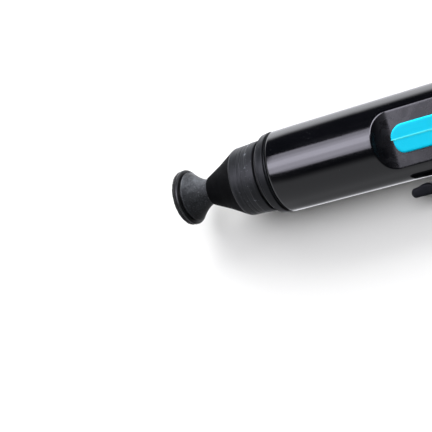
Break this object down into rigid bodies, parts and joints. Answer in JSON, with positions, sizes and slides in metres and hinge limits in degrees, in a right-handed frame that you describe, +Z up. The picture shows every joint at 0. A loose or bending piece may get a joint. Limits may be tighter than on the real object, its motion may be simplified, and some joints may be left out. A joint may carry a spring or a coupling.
{
  "type": "lens cleaning pen",
  "caption": "Slim black cleaning pen with a flexible padded tip, a retractable brush worked by a thumb slider, and a pocket clip.",
  "frame": {"origin": "centre of the bounding box's base, as the pen lies on its barrel and its clip", "axes": "+X along the pen from the cleaning tip to the brush end, +Z up from the table, the thumb button and the clip on the -Y side"},
  "size_m": [0.105, 0.019, 0.0164],
  "materials": {
    "felt": "black felt",
    "rim": "satin",
    "grey_rubber": "powdery matte",
    "satin_black": "satin",
    "matte_grey": "matte",
    "black_rubber": "matte",
    "gloss_black": "polished",
    "cyan_plastic": "satin",
    "inner_plastic": "moulded",
    "spring_steel": "bright",
    "ferrule_metal": "bright",
    "bristle_hair": "soft hair",
    "clip_plastic": "satin"
  },
  "bodies": {
    "pen_body": {"nose_cone": "satin_black", "nose_sleeve": "matte_grey", "seal_ring": "black_rubber", "collar_ring": "matte_grey", "nose_core": "inner_plastic", "barrel": "gloss_black", "rear_sleeve": "inner_plastic", "clip_ring": "gloss_black", "clip_foot": "clip_plastic", "clip_rivet_front": "spring_steel", "clip_rivet_rear": "spring_steel", "rear_bezel": "gloss_black"},
    "tip_root": {"tip_plug": "inner_plastic"},
    "tip_head": {"flexible_tip": "grey_rubber", "pad_plate": "rim", "cleaning_pad": "felt"},
    "brush_slider": {"slider_button": "cyan_plastic", "slider_saddle": "inner_plastic", "brush_carriage": "inner_plastic", "detent_spring": "spring_steel", "brush_ferrule": "ferrule_metal", "brush_bristles": "bristle_hair"},
    "clip_strip": {"pocket_clip": "clip_plastic"}
  },
  "joints": [
    {"name": "brush_slide", "type": "slide", "parent": "pen_body", "child": "brush_slider", "axis": [1, 0, 0], "range_m": [0, 0.021]},
    {"name": "tip_tilt", "type": "hinge", "parent": "pen_body", "child": "tip_root", "pos_m": [-0.046, 0.00128, 0.0082], "axis": [0, 0.8356, 0.5493], "range_deg": [-8, 8], "stiffness_Nm_per_rad": 0.02},
    {"name": "tip_swing", "type": "hinge", "parent": "tip_root", "child": "tip_head", "pos_m": [-0.046, 0.00128, 0.0082], "axis": [0, -0.5493, 0.8356], "range_deg": [-8, 8], "stiffness_Nm_per_rad": 0.02},
    {"name": "clip_flex", "type": "hinge", "parent": "pen_body", "child": "clip_strip", "pos_m": [0.0419, -0.00751, 0.00243], "axis": [0, -0.5493, 0.8356], "range_deg": [-0.8, 5], "stiffness_Nm_per_rad": 1.8}
  ]
}
